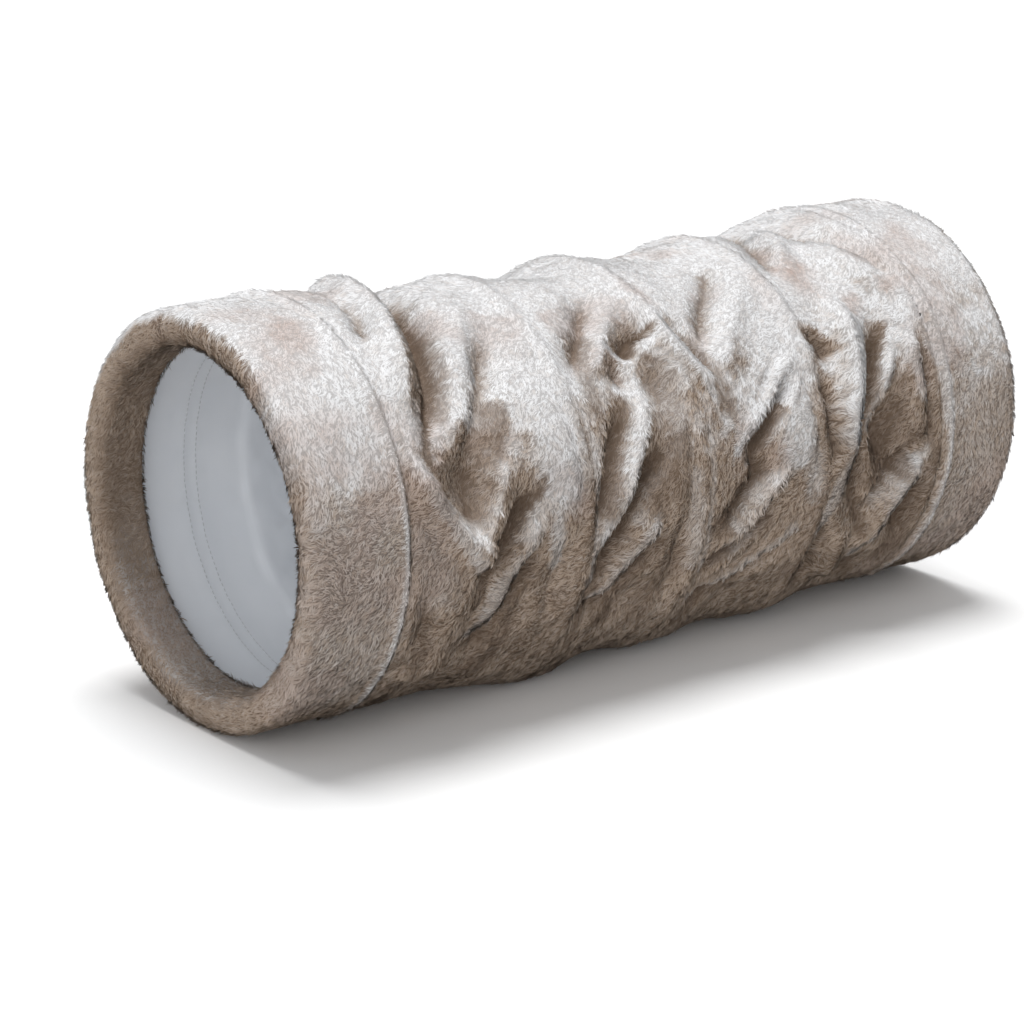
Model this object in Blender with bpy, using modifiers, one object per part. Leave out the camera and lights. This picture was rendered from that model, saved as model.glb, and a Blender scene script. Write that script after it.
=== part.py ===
"""Plush cat tunnel: seven spring-wire hoops held between a plush outside and a smooth lining.

The tunnel lies along X with its front mouth at -X, its bottom on the floor (Z = 0) and its
origin at the bottom centre. Each hoop is an open ring of wire whose two ends meet in a crimped
ferrule. The mouth hoops lie in the rounded lips of the two cuffs, whose plush turns in to the
bore; the other five lie in folded tape casings between the lining and a crinkle film. The bay
hoops are a little smaller than the cuffs', so the plush of the bays stands lower than the cuffs,
dips between its hoops and gathers there in slanting folds. The whole tunnel folds flat: every
hoop slides along X towards the front mouth while the fabric gathers between them.
"""
import math

import bmesh
import bpy
from mathutils import Vector

MM = 0.001

# Overall sizes
tunnel_length = 550 * MM
cuff_diameter = 250 * MM
bay_drop = 4 * MM
cuff_width = 66 * MM

# Fabric
plush_thickness = 8.0 * MM
film_thickness = 0.5 * MM
lining_thickness = 0.6 * MM
turned_in_width = 28 * MM
seam_step = 3.5 * MM
lip_round = 10 * MM
bay_dip = 6.0 * MM
film_dip = 12.0 * MM
lining_dip = 7.0 * MM
fold_depth = 9.0 * MM
fold_width = 13 * MM
fold_fade = 12 * MM
least_wall = 1.5 * MM
fold_row_step = 23 * MM
lining_start = 14.5 * MM

# Wire, ferrules and casings
wire_diameter = 2.8 * MM
wire_end_gap = 1.0 * MM
ferrule_length = 16 * MM
ferrule_wall = 0.4 * MM
ferrule_clearance = 0.3 * MM
casing_tape = 0.6 * MM
casing_clearance = 0.3 * MM

# Fits: the gap that touching layers keep, and half the width of plush lying straight on a hoop
layer_gap = 0.3 * MM
hoop_land = 4.5 * MM

# Where the three bay hoops lie, as shares of the tunnel's length from the front mouth
bay_hoop_shares = (0.352, 0.515, 0.697)

# The angle round the tunnel is in degrees from the top, growing towards the -Y side
facets_round = 34
ferrule_facet = 26

# Slanting folds of the plush over the top and the -Y side, one line a fold: its depth as a share
# of the fold depth, then its places, each as (share of the tunnel's length, angle). A share
# below zero is a ridge, which brings the cloth back out of the bay's dip.
fold_lines = (
    (1.3, ((0.255, -5), (0.228, 18), (0.185, 50), (0.150, 68))),
    (-1.2, ((0.222, -22), (0.182, 22), (0.145, 58))),
    (0.9, ((0.270, 42), (0.225, 62), (0.198, 84))),
    (-0.7, ((0.125, 66), (0.165, 84), (0.215, 98))),
    (1.0, ((0.290, 80), (0.245, 94), (0.215, 108))),
    (-0.6, ((0.285, 92), (0.250, 110), (0.232, 126))),
    (0.9, ((0.290, 108), (0.265, 122))),
    (0.7, ((0.185, 132), (0.205, 146))),
    (0.5, ((0.460, 22), (0.390, 44))),
    (0.7, ((0.460, 48), (0.490, 40))),
    (0.8, ((0.415, 62), (0.380, 88))),
    (-0.7, ((0.452, 60), (0.405, 88))),
    (1.2, ((0.465, 76), (0.420, 92), (0.385, 110))),
    (-0.5, ((0.450, 98), (0.400, 114))),
    (1.0, ((0.450, 108), (0.400, 124))),
    (0.5, ((0.535, 32), (0.560, 54))),
    (0.5, ((0.660, 16), (0.590, 40))),
    (-0.6, ((0.665, 58), (0.590, 78))),
    (0.8, ((0.660, 64), (0.600, 82))),
    (-0.5, ((0.640, 88), (0.560, 108))),
    (0.9, ((0.640, 100), (0.600, 108), (0.550, 120))),
    (0.9, ((0.650, 120), (0.600, 130))),
    (0.5, ((0.790, -10), (0.735, 22))),
    (-1.1, ((0.768, 42), (0.740, 70), (0.715, 94))),
    (1.4, ((0.812, 58), (0.788, 82), (0.776, 102))),
    (-0.6, ((0.850, 98), (0.810, 110), (0.780, 124))),
    (0.8, ((0.850, 112), (0.846, 128))),
)

# The folds on the +Y side follow one another round it in each bay, sloping down to the front
far_folds = 5
far_first_angle = -44
far_step_angle = -30
far_sway_angle = 7
far_turn_angle = -24
far_turn_change = 0.35
far_places = (0.76, 0.24)
far_depth = 0.85
far_ridge = -0.45

# Worked out from the sizes above
front_x = -tunnel_length / 2
cuff_radius = cuff_diameter / 2
bay_radius = cuff_radius - bay_drop
facet_angle = 2 * math.pi / facets_round
wire_radius = wire_diameter / 2
ferrule_bore = wire_radius + ferrule_clearance
ferrule_radius = ferrule_bore + ferrule_wall
casing_inner = ferrule_radius + casing_clearance
casing_outer = casing_inner + casing_tape
film_depth = plush_thickness + layer_gap
casing_depth = film_depth + film_thickness + layer_gap
hoop_depth = casing_depth + casing_outer
lining_depth = hoop_depth + casing_outer + layer_gap
strip_depth = lining_depth + lining_thickness + layer_gap
opening_depth = strip_depth + plush_thickness

front_seam = cuff_width
rear_seam = tunnel_length - cuff_width
inner_hoops = (
    [front_seam]
    + [share * tunnel_length for share in bay_hoop_shares]
    + [rear_seam]
)
mouth_hoop = plush_thickness + casing_inner
bays = list(zip(inner_hoops[:-1], inner_hoops[1:]))


def material(name, color, roughness, metallic=0.0):
    made = bpy.data.materials.new(name)
    made.use_nodes = True
    shader = made.node_tree.nodes["Principled BSDF"]
    shader.inputs["Base Color"].default_value = (*color, 1.0)
    shader.inputs["Roughness"].default_value = roughness
    shader.inputs["Metallic"].default_value = metallic
    return made


def outer_radius(x):
    """Radius over the plush at distance x from the front mouth, without its dips and folds."""
    first, last = inner_hoops[1], inner_hoops[-2]
    if x <= front_seam or x >= rear_seam:
        return cuff_radius
    if x < first:
        share = (x - front_seam) / (first - front_seam)
    elif x > last:
        share = (rear_seam - x) / (rear_seam - last)
    else:
        share = 1.0
    eased = share * share * (3 - 2 * share)
    return cuff_radius + (bay_radius - cuff_radius) * eased


def ring_point(x, radius, angle):
    """A point at an angle from the top; every ring's lowest facet lies on the floor."""
    height = outer_radius(x) * math.cos(facet_angle / 2)
    across = -radius * math.sin(angle)
    return Vector((front_x + x, across, height + radius * math.cos(angle)))


def ring_angles():
    return [(k + 1 / 2) * facet_angle for k in range(facets_round)]


def bay_share(x):
    """Which bay x lies in, and how far along it, leaving out the lands on its two hoops."""
    for index, (start, end) in enumerate(bays):
        first, last = start + hoop_land, end - hoop_land
        if first < x < last:
            return index, (x - first) / (last - first)
    return None, 0.0


def dip_at(x, depth):
    """How far a layer dips below its hoops: nothing on the hoops, full depth halfway."""
    bay, share = bay_share(x)
    return 0.0 if bay is None else depth * math.sin(math.pi * share) ** 2


def slack_at(x, angle):
    """How far the plush hangs in between its hoops: full on top and nothing underneath."""
    return dip_at(x, bay_dip) * (1 + math.cos(angle)) / 2


def unrolled(share, degrees):
    """A place on the unrolled cloth, from its share of the length and its angle."""
    return Vector((share * tunnel_length, math.radians(degrees) * bay_radius))


def distance_to_line(point, places):
    """The least distance from a point to a line that runs through several places."""
    least = math.inf
    for start, end in zip(places, places[1:]):
        along = end - start
        share = (point - start).dot(along) / along.length_squared
        least = min(least, (point - (start + along * min(max(share, 0), 1))).length)
    return least


def far_fold_lines():
    """The folds of the +Y side, each with the ridge that follows it."""
    lines = []
    for bay, (start, end) in enumerate(bays):
        rear, front = [
            (start + share * (end - start)) / tunnel_length for share in far_places
        ]
        for n in range(far_folds):
            sway = far_sway_angle * math.sin(2 * n + bay)
            angle = far_first_angle + far_step_angle * n + sway
            change = far_turn_change * math.sin(3 * n + 2 * bay)
            turned = angle + far_turn_angle * (1 + change)
            half = far_step_angle / 2
            lines.append((far_depth, ((rear, angle), (front, turned))))
            lines.append((far_ridge, ((rear, angle + half), (front, turned + half))))
    return lines


def all_folds():
    """Every fold as (depth, places on the unrolled cloth)."""
    return [
        (depth * fold_depth, [unrolled(share, degrees) for share, degrees in places])
        for depth, places in fold_lines + tuple(far_fold_lines())
    ]


def fold_at(x, angle, folds):
    """Depth of the slanting folds at a point of the plush, measured on the unrolled cloth."""
    nearest = min(abs(x - hoop) for hoop in inner_hoops) - hoop_land
    if nearest <= 0 or not front_seam < x < rear_seam:
        return 0.0
    degrees = math.degrees(angle)
    depth = 0.0
    for turn in (0, -360):
        here = unrolled(x / tunnel_length, degrees + turn)
        for fold, places in folds:
            reach = distance_to_line(here, places) / fold_width
            depth += fold * math.exp(-reach * reach)
    return depth * min(1.0, nearest / fold_fade)


def add_mesh(name, mesh_builder, look):
    mesh = bpy.data.meshes.new(name)
    bm = bmesh.new()
    mesh_builder(bm)
    bmesh.ops.recalc_face_normals(bm, faces=bm.faces)
    bm.to_mesh(mesh)
    bm.free()
    mesh.shade_smooth()
    made = bpy.data.objects.new(name, mesh)
    made.data.materials.append(look)
    collection.objects.link(made)
    return made


def lofted_layer(name, outer_rows, inner_rows, look):
    """A closed tube wall between two lofted surfaces, each a list of (x, radius at an angle).

    Each facet is split in two along the slant of the folds, which run down to the front.
    """

    def build(bm):
        rows = outer_rows + inner_rows[::-1]
        rings = [
            [bm.verts.new(ring_point(x, radius(a), a)) for a in ring_angles()]
            for x, radius in rows
        ]
        for ring, after in zip(rings, rings[1:] + rings[:1]):
            for k in range(facets_round):
                n = (k + 1) % facets_round
                corners = (ring[k], ring[n], after[n], after[k])
                if k > facets_round / 2:
                    corners = corners[1:] + corners[:1]
                a, b, c, d = corners
                bm.faces.new((a, b, d))
                bm.faces.new((b, c, d))

    return add_mesh(name, build, look)


def turned_ring(name, profile, x, look, closed=True):
    """Turns a profile of (along, radius) points round the axis of the ring at x."""

    def build(bm):
        verts = [bm.verts.new((along, 0, radius)) for along, radius in profile]
        pairs = list(zip(verts, verts[1:] + verts[:1]))
        for a, b in pairs if closed else pairs[:-1]:
            bm.edges.new((a, b))

    made = add_mesh(name, build, look)
    turn = made.modifiers.new("turn", "SCREW")
    turn.axis = "X"
    turn.angle = 2 * math.pi
    turn.steps = facets_round
    turn.render_steps = facets_round
    turn.use_merge_vertices = True
    turn.merge_threshold = 0.01 * MM
    made.location = ring_point(x, 0, 0)
    made.rotation_euler = (facet_angle / 2, 0, 0)
    return made


def cuff_profile():
    """Section of a cuff from its mouth (along = 0) to its seam, round the lip and turned in."""
    outside = cuff_radius
    wall = cuff_radius - plush_thickness
    strip = cuff_radius - strip_depth
    opening = cuff_radius - opening_depth
    middle = (outside + opening) / 2
    half = (outside - opening) / 2
    lip = [
        (
            lip_round * (1 - math.sin(math.radians(turn))),
            middle + half * math.cos(math.radians(turn)),
        )
        for turn in (0, 45, 90, 135, 180)
    ]
    centre = cuff_radius - hoop_depth
    fold = casing_inner
    channel = [
        (mouth_hoop + fold, strip),
        (plush_thickness + fold / 2, centre - fold),
        (plush_thickness, centre),
        (plush_thickness + fold / 2, centre + fold),
        (mouth_hoop + fold, wall),
    ]
    return (
        [(cuff_width, outside)]
        + lip
        + [(turned_in_width, opening), (turned_in_width, strip)]
        + channel
        + [(cuff_width, wall)]
    )


def build_cuff(name, rear, look):
    profile = cuff_profile()
    if rear:
        mirrored = [(-along, radius) for along, radius in profile]
        return turned_ring(name, mirrored[::-1], tunnel_length, look)
    return turned_ring(name, profile, 0, look)


def land_rows(extra_shares):
    """Places of a layer's rings: each hoop's two lands, and shares of each bay between them."""
    rows = []
    for start, end in bays:
        first, last = start + hoop_land, end - hoop_land
        rows += [first] + [first + s * (last - first) for s in extra_shares] + [last]
    return rows


def fold_rows():
    """Places of the sleeve's outer rings: one on each hoop, and evenly spaced ones between."""
    rows = [front_seam + layer_gap, front_seam + hoop_land]
    for start, end in bays:
        steps = round((end - start) / fold_row_step)
        rows += [start + n * (end - start) / steps for n in range(1, steps + 1)]
    return rows[:-1] + [rear_seam - hoop_land, rear_seam - layer_gap]


def build_sleeve(look):
    """The plush between the cuffs: full folds outside, a plain dip inside."""
    outer_places = fold_rows()
    ends = (outer_places[0], outer_places[-1])
    inner_places = [ends[0]] + land_rows((1 / 2,)) + [ends[1]]

    folds = all_folds()

    def outside(x):
        deepest = plush_thickness + dip_at(x, film_dip) - least_wall

        def radius(a):
            held = seam_step if x in ends else slack_at(x, a)
            return outer_radius(x) - min(max(held + fold_at(x, a, folds), 0), deepest)

        return radius

    def inside(x):
        return lambda a: outer_radius(x) - plush_thickness - dip_at(x, film_dip)

    outer_rows = [(x, outside(x)) for x in outer_places]
    inner_rows = [(x, inside(x)) for x in inner_places]
    return lofted_layer("plush_sleeve", outer_rows, inner_rows, look)


def build_inner_layer(name, depth, thickness, dip, look):
    places = [lining_start] + land_rows((1 / 2,)) + [tunnel_length - lining_start]

    def surface(x, below):
        return lambda a: outer_radius(x) - below - dip_at(x, dip)

    outer_rows = [(x, surface(x, depth)) for x in places]
    inner_rows = [(x, surface(x, depth + thickness)) for x in places]
    return lofted_layer(name, outer_rows, inner_rows, look)


def hoop_radius(x):
    return outer_radius(x) - hoop_depth


def build_hoop(name, x, look):
    """An open ring of wire; its ends face each other in the middle of the ferrule's facet."""
    radius = hoop_radius(x)
    angles = ring_angles()
    turned = angles[ferrule_facet:] + angles[:ferrule_facet]
    corners = [ring_point(x, radius, a) for a in turned]
    middle = (corners[0] + corners[-1]) / 2
    towards = (corners[0] - corners[-1]).normalized()
    half_gap = towards * wire_end_gap / 2
    centre = ring_point(x, 0, 0)
    points = [p - centre for p in [middle + half_gap] + corners + [middle - half_gap]]
    curve = bpy.data.curves.new(name, "CURVE")
    curve.dimensions = "3D"
    curve.bevel_depth = wire_radius
    curve.bevel_resolution = 1
    curve.use_fill_caps = True
    spline = curve.splines.new("POLY")
    spline.points.add(len(points) - 1)
    for place, point in zip(spline.points, points):
        place.co = (*point, 1)
    made = bpy.data.objects.new(name, curve)
    made.location = centre
    made.data.materials.append(look)
    collection.objects.link(made)
    return made


def build_ferrule(name, x, look):
    """A crimped tube, straight along one facet of its hoop, over the wire's two ends."""
    half = ferrule_length / 2
    profile = (
        (-half, ferrule_bore),
        (half, ferrule_bore),
        (half, ferrule_radius),
        (-half, ferrule_radius),
    )
    made = turned_ring(name, profile, x, look)
    made.modifiers["turn"].steps = 8
    made.modifiers["turn"].render_steps = 8
    angle = ferrule_facet * facet_angle
    apothem = hoop_radius(x) * math.cos(facet_angle / 2)
    made.location = ring_point(x, apothem, angle)
    made.rotation_euler = (angle, 0, math.pi / 2)
    made.rotation_mode = "ZYX"
    return made


def build_casing(name, x, look):
    """Tape folded up both sides of the wire, closed towards the lining."""
    middle = casing_outer - casing_tape / 2
    radius = hoop_radius(x)
    profile = (
        (-middle, radius + middle),
        (-middle, radius - middle),
        (middle, radius - middle),
        (middle, radius + middle),
    )
    made = turned_ring(name, profile, x, look, closed=False)
    wall = made.modifiers.new("tape", "SOLIDIFY")
    wall.thickness = casing_tape
    wall.offset = 0
    wall.use_even_offset = True
    return made


for old in list(bpy.data.objects):
    bpy.data.objects.remove(old, do_unlink=True)

collection = bpy.data.collections.new("plush_cat_tunnel")
bpy.context.scene.collection.children.link(collection)

plush = material("taupe plush", (0.42, 0.36, 0.31), 0.95)
lining_cloth = material("smooth lining", (0.62, 0.65, 0.69), 0.45)
film = material("crinkle film", (0.70, 0.71, 0.72), 0.25)
tape = material("casing tape", (0.50, 0.47, 0.44), 0.80)
steel = material("spring steel", (0.45, 0.45, 0.46), 0.35, 1.0)
crimp = material("crimp steel", (0.60, 0.60, 0.61), 0.40, 1.0)

hoop_places = {
    "front_mouth": mouth_hoop,
    "front_seam": inner_hoops[0],
    "bay_1": inner_hoops[1],
    "bay_2": inner_hoops[2],
    "bay_3": inner_hoops[3],
    "rear_seam": inner_hoops[4],
    "rear_mouth": tunnel_length - mouth_hoop,
}

build_cuff("front_cuff", False, plush)
build_cuff("rear_cuff", True, plush)
build_sleeve(plush)
build_inner_layer("crinkle_film", film_depth, film_thickness, film_dip, film)
build_inner_layer("lining_sleeve", lining_depth, lining_thickness, lining_dip, lining_cloth)

for place, x in hoop_places.items():
    guide = bpy.data.objects.new(place + "_axis", None)
    guide.location = ring_point(x, 0, 0)
    collection.objects.link(guide)
    pieces = [
        build_hoop("hoop_" + place, x, steel),
        build_ferrule("ferrule_" + place, x, crimp),
    ]
    if not place.endswith("mouth"):
        pieces.append(build_casing("casing_" + place, x, tape))
    bpy.context.view_layer.update()
    for piece in pieces:
        piece.parent = guide
        piece.matrix_parent_inverse = guide.matrix_world.inverted()
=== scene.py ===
"""Plush tunnel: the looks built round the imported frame.

The tunnel lies along X with its front mouth at -X. Places on the cloth are given unrolled: the share
of the length from the front mouth, and the angle in degrees from the top towards -Y.
"""

import math

import bpy
import numpy as np
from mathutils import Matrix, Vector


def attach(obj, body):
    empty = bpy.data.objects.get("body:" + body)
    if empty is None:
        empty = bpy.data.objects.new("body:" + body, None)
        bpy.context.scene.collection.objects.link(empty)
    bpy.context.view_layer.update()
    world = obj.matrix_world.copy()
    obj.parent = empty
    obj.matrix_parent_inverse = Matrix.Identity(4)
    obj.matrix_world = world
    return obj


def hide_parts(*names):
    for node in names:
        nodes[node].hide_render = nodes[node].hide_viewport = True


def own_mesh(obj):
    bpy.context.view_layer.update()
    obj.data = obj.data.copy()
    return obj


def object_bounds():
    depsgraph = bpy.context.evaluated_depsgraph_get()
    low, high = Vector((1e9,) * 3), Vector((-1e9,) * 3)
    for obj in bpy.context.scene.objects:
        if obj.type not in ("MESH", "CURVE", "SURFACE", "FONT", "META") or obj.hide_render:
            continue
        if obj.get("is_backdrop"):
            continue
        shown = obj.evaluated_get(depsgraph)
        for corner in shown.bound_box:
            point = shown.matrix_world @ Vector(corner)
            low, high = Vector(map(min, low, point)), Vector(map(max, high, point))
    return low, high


MM = 0.001

# The tunnel's own sizes, as the source has them.
LENGTH = 550 * MM
HALF = LENGTH / 2
CUFF_RADIUS = 125 * MM
BAY_RADIUS = 121 * MM
CUFF_WIDTH = 66 * MM
MOUTH_RADIUS = 0.1007  # of the bore, inside the turned-in plush
LIP_REACH = 8.0 * MM
HEM_DEPTH = 28 * MM  # how far the plush is turned in at a mouth
SEAM_LINE = 60.5 * MM  # from a mouth to the raised line beside the cuff's seam
SEAM_LINE_WIDTH = 1.9 * MM
HOOPS = np.array([66 * MM, 0.352 * LENGTH, 0.515 * LENGTH, 0.697 * LENGTH, LENGTH - 66 * MM])
HOOP_NAMES = ("front_seam", "bay_1", "bay_2", "bay_3", "rear_seam")
CENTRE_DROP = math.cos(math.pi / 34)  # the solids' rings have 34 sides and rest on one of them
AROUND = 2 * math.pi * BAY_RADIUS
AROUND_MM = AROUND / MM

# The plush: a ground cloth as grids, and blades on it in tufts.
SLACK = 6.0 * MM
PILE = 2.0 * MM
CREASE_DEPTH = 6.5 * MM  # at which the painted crease shade is darkest
CREASE_ROUNDS = 90  # of levelling, which set how wide a hollow counts as a crease
SKIN_STEP = 1.7 * MM
AROUND_STEPS = 440
BLADE_SPACING = 1.07 * MM
BLADE_LENGTHS_MM = (3.4, 5.4)
BLADE_WIDTH = 0.70 * MM
TUFT_SIZE = 3.2 * MM
LOW_LEAN, TIP_LEAN = 60, 82  # degrees off upright of a blade's lower and upper part
TIP_LEAN_LIMITS = (64, 88)
SIDES = ("near", "under", "far")

# Depths of the inner layers below the pile's outside in mm, at a hoop and further in between hoops.
FILM_DEPTH, FILM_DIP = 8.4, 12
CASING_DEPTH = 12.1
LINING_DEPTH, LINING_DIP = 15.7, 5.0
INNER_COLUMNS = 300
CASING_COLUMNS = 180

# How far pieces keep above the floor.
BLADE_FLOOR_GAP = 0.25 * MM
PLUSH_FLOOR_GAP = 1.2 * MM
LINING_FLOOR_GAP = 1.6 * MM

# Stitches of the lining: their number round the tunnel, size and distance from their hoop.
STITCHES = 190
STITCH_LENGTH = 2.7 * MM
THREAD = 0.6 * MM
STITCH_OFF = 4.2 * MM


# ---------------------------------------------------------------- noise on the unrolled cloth
NOISE_REACH = 0.7  # metres that the noise covers to each side


def noise(seed, x, y, cell):
    """Smooth noise from -1 to 1. x runs along the tunnel and y round it, in metres. Each use has its own seed."""
    rng = np.random.default_rng(seed)
    rows = max(3, round(AROUND / cell))
    columns = int(2 * NOISE_REACH / cell) + 6
    table = rng.uniform(-1, 1, (columns, rows))
    u = (np.asarray(x) + NOISE_REACH) / cell
    v = np.asarray(y) / AROUND * rows
    i, j = np.floor(u).astype(int), np.floor(v).astype(int)
    a, b = u - i, v - j
    a, b = a * a * (3 - 2 * a), b * b * (3 - 2 * b)
    i = np.clip(i, 0, columns - 2)
    j0, j1 = j % rows, (j + 1) % rows
    low = table[i, j0] * (1 - b) + table[i, j1] * b
    high = table[i + 1, j0] * (1 - b) + table[i + 1, j1] * b
    return low * (1 - a) + high * a


def cloudy(seed, x, y, cell, octaves=3):
    """Noise summed over octaves, from about -1 to 1."""
    total, weight, whole = 0.0, 1.0, 0.0
    for k in range(octaves):
        total = total + weight * noise(seed + 17 * k, x, y, cell / 2**k)
        whole += weight
        weight *= 0.55
    return total / whole * 1.4


def smooth(t):
    """A soft step from 0 to 1."""
    t = np.clip(t, 0, 1)
    return t * t * (3 - 2 * t)


# ---------------------------------------------------------------- the tunnel's body
def outer_radius(along):
    """Radius of the pile's outside at a distance from the front mouth, before dips and folds."""
    along = np.asarray(along, float)
    rise = np.where(
        along < HOOPS[1],
        (along - HOOPS[0]) / (HOOPS[1] - HOOPS[0]),
        np.where(along > HOOPS[3], (HOOPS[4] - along) / (HOOPS[4] - HOOPS[3]), 1.0),
    )
    return CUFF_RADIUS + (BAY_RADIUS - CUFF_RADIUS) * smooth(rise)


def place(along, radius, angle):
    """Points in the row frame at distances from the front mouth, radii and angles in radians."""
    height = outer_radius(along) * CENTRE_DROP
    return np.stack([along - HALF, -radius * np.sin(angle), height + radius * np.cos(angle)], -1)


def radius_of(points, along):
    """Distance of points from the tunnel's axis, at their places along it."""
    return np.linalg.norm(points[..., 1:] - place(along, 0 * along, 0 * along)[..., 1:], axis=-1)


def between_hoops(along):
    """0 on a hoop and 1 in the middle of a bay."""
    along = np.asarray(along, float)
    share = np.zeros_like(along)
    for a, b in zip(HOOPS[:-1], HOOPS[1:]):
        inside = (along > a) & (along < b)
        share = np.where(inside, np.sin(np.pi * (along - a) / (b - a)) ** 2, share)
    return share


def gap_to_hoop(along):
    """Distance to the nearest of the five inner hoops."""
    return np.min([np.abs(along - hoop) for hoop in HOOPS], axis=0)


# ---------------------------------------------------------------- the unrolled cloth, in mm
def on_cloth(share, degrees):
    """A place given as share of the length and angle, in mm along the tunnel and round it."""
    return share * LENGTH / MM, math.radians(degrees) * BAY_RADIUS / MM


def wrapped(y):
    """Distance round the tunnel, from half a turn before the top to half a turn after it."""
    return (y + AROUND_MM / 2) % AROUND_MM - AROUND_MM / 2


def near_path(x, y, path, reach):
    """True within reach of the box round a path."""
    return (
        (x > path[:, 0].min() - reach) & (x < path[:, 0].max() + reach)
        & (y > path[:, 1].min() - reach) & (y < path[:, 1].max() + reach)
    )


def oval(x, y, spot, wide, long, turn):
    """Squared distance from a spot, as a share of an oval's turned half widths."""
    cx, cy = on_cloth(*spot)
    dx, dy = x - cx, wrapped(y - cy)
    c, s = math.cos(math.radians(turn)), math.sin(math.radians(turn))
    u, v = (dx * c + dy * s) / wide, (-dx * s + dy * c) / long
    return u * u + v * v


# ---------------------------------------------------------------- the folds
FOLD_GAIN = 1.3
FOLD_END = 0.28  # share of its length over which a fold rises from each end
FOLD_END_HEIGHT = 0.12
PAST_END = 6.0  # mm
VALLEY_ROUNDING, CREST_ROUNDING = 1.2, 1.8  # mm
FLANK_REACH, FLANK_POWER = 1.9, 1.35

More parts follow.
